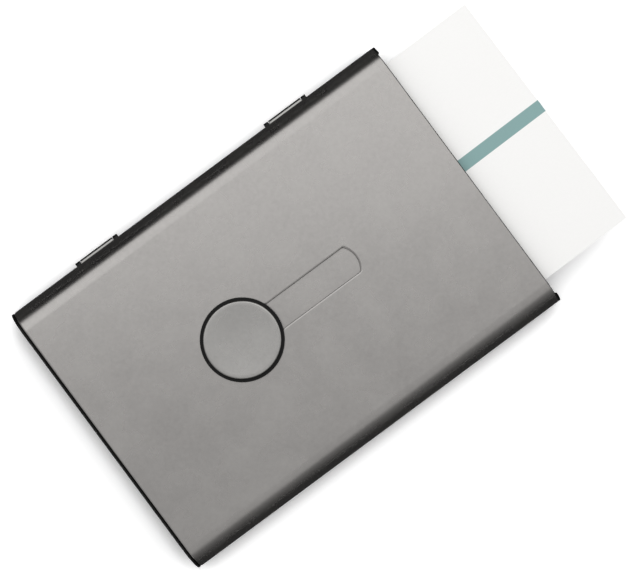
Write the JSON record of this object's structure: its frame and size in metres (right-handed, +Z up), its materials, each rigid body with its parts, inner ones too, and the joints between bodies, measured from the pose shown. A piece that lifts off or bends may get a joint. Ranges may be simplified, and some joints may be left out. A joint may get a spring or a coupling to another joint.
{
  "type": "pop up card holder",
  "caption": "Flat metal case for business cards, with a round thumb button in a slot that slides the top card out of the open short end",
  "frame": {"origin": "the middle of the back cover's flat outer face, on the surface that the case lies on", "axes": "+X out of the open end, where the cards come out; +Y towards the hinged long side; +Z up through the front cover and the thumb button"},
  "size_m": [0.1147, 0.0663, 0.0128],
  "materials": {
    "satin_metal": "fine satin grey, warm and low in gloss",
    "disc_metal": "satin grey, dished, with a bright bevelled edge",
    "polished_steel": "bright polished",
    "blackened_steel": "black oxide, half matt",
    "spring_steel": "rolled spring steel",
    "black_plastic": "moulded black, semi matt",
    "plain_card": "smooth white card stock",
    "printed_card": "smooth white card stock with one plain teal stripe"
  },
  "bodies": {
    "back_case": {"back_cover": "satin_metal", "rear_hinge_leaf_1": "blackened_steel", "rear_hinge_leaf_2": "blackened_steel", "hinge_pin_1": "polished_steel", "hinge_pin_2": "polished_steel", "leaf_spring_1": "spring_steel", "leaf_spring_2": "spring_steel", "spring_rivet_1": "polished_steel", "spring_rivet_2": "polished_steel"},
    "spring_plate_body": {"spring_plate": "spring_steel"},
    "front_case": {"front_cover": "satin_metal", "card_frame": "black_plastic", "front_hinge_leaf_1": "polished_steel", "front_hinge_leaf_2": "polished_steel", "stack_card_1": "plain_card", "stack_card_2": "plain_card", "stack_card_3": "plain_card", "stack_card_4": "plain_card"},
    "thumb_slide_body": {"slider_strip": "satin_metal", "button_neck": "black_plastic", "button_base": "black_plastic", "button_disc": "disc_metal", "button_rivet_1": "polished_steel", "button_rivet_2": "polished_steel", "pusher_hook": "spring_steel", "pusher_rivet_1": "polished_steel", "pusher_rivet_2": "polished_steel"},
    "next_card_body": {"next_card": "plain_card"},
    "popped_card_body": {"popped_card": "printed_card"}
  },
  "joints": [
    {"name": "case_hinge", "type": "hinge", "parent": "back_case", "child": "front_case", "pos_m": [0, 0.03285, 0.0054], "axis": [-1, 0, 0], "range_deg": [0, 100]},
    {"name": "spring_plate_press", "type": "slide", "parent": "back_case", "child": "spring_plate_body", "axis": [0, 0, -1], "range_m": [0, 0.002], "stiffness_N_per_m": 200, "springref_m": -0.003, "deforming": ["leaf_spring_1", "leaf_spring_2"]},
    {"name": "thumb_slide", "type": "slide", "parent": "front_case", "child": "thumb_slide_body", "axis": [1, 0, 0], "range_m": [0, 0.0222]},
    {"name": "next_card_slide", "type": "slide", "parent": "front_case", "child": "next_card_body", "axis": [1, 0, 0], "range_m": [0, 0.0222]},
    {"name": "popped_card_slide", "type": "slide", "parent": "front_case", "child": "popped_card_body", "axis": [1, 0, 0], "range_m": [0, 0.068]}
  ],
  "couplings": [
    {"joint": "next_card_slide", "follows": "thumb_slide", "ratio": 1}
  ]
}
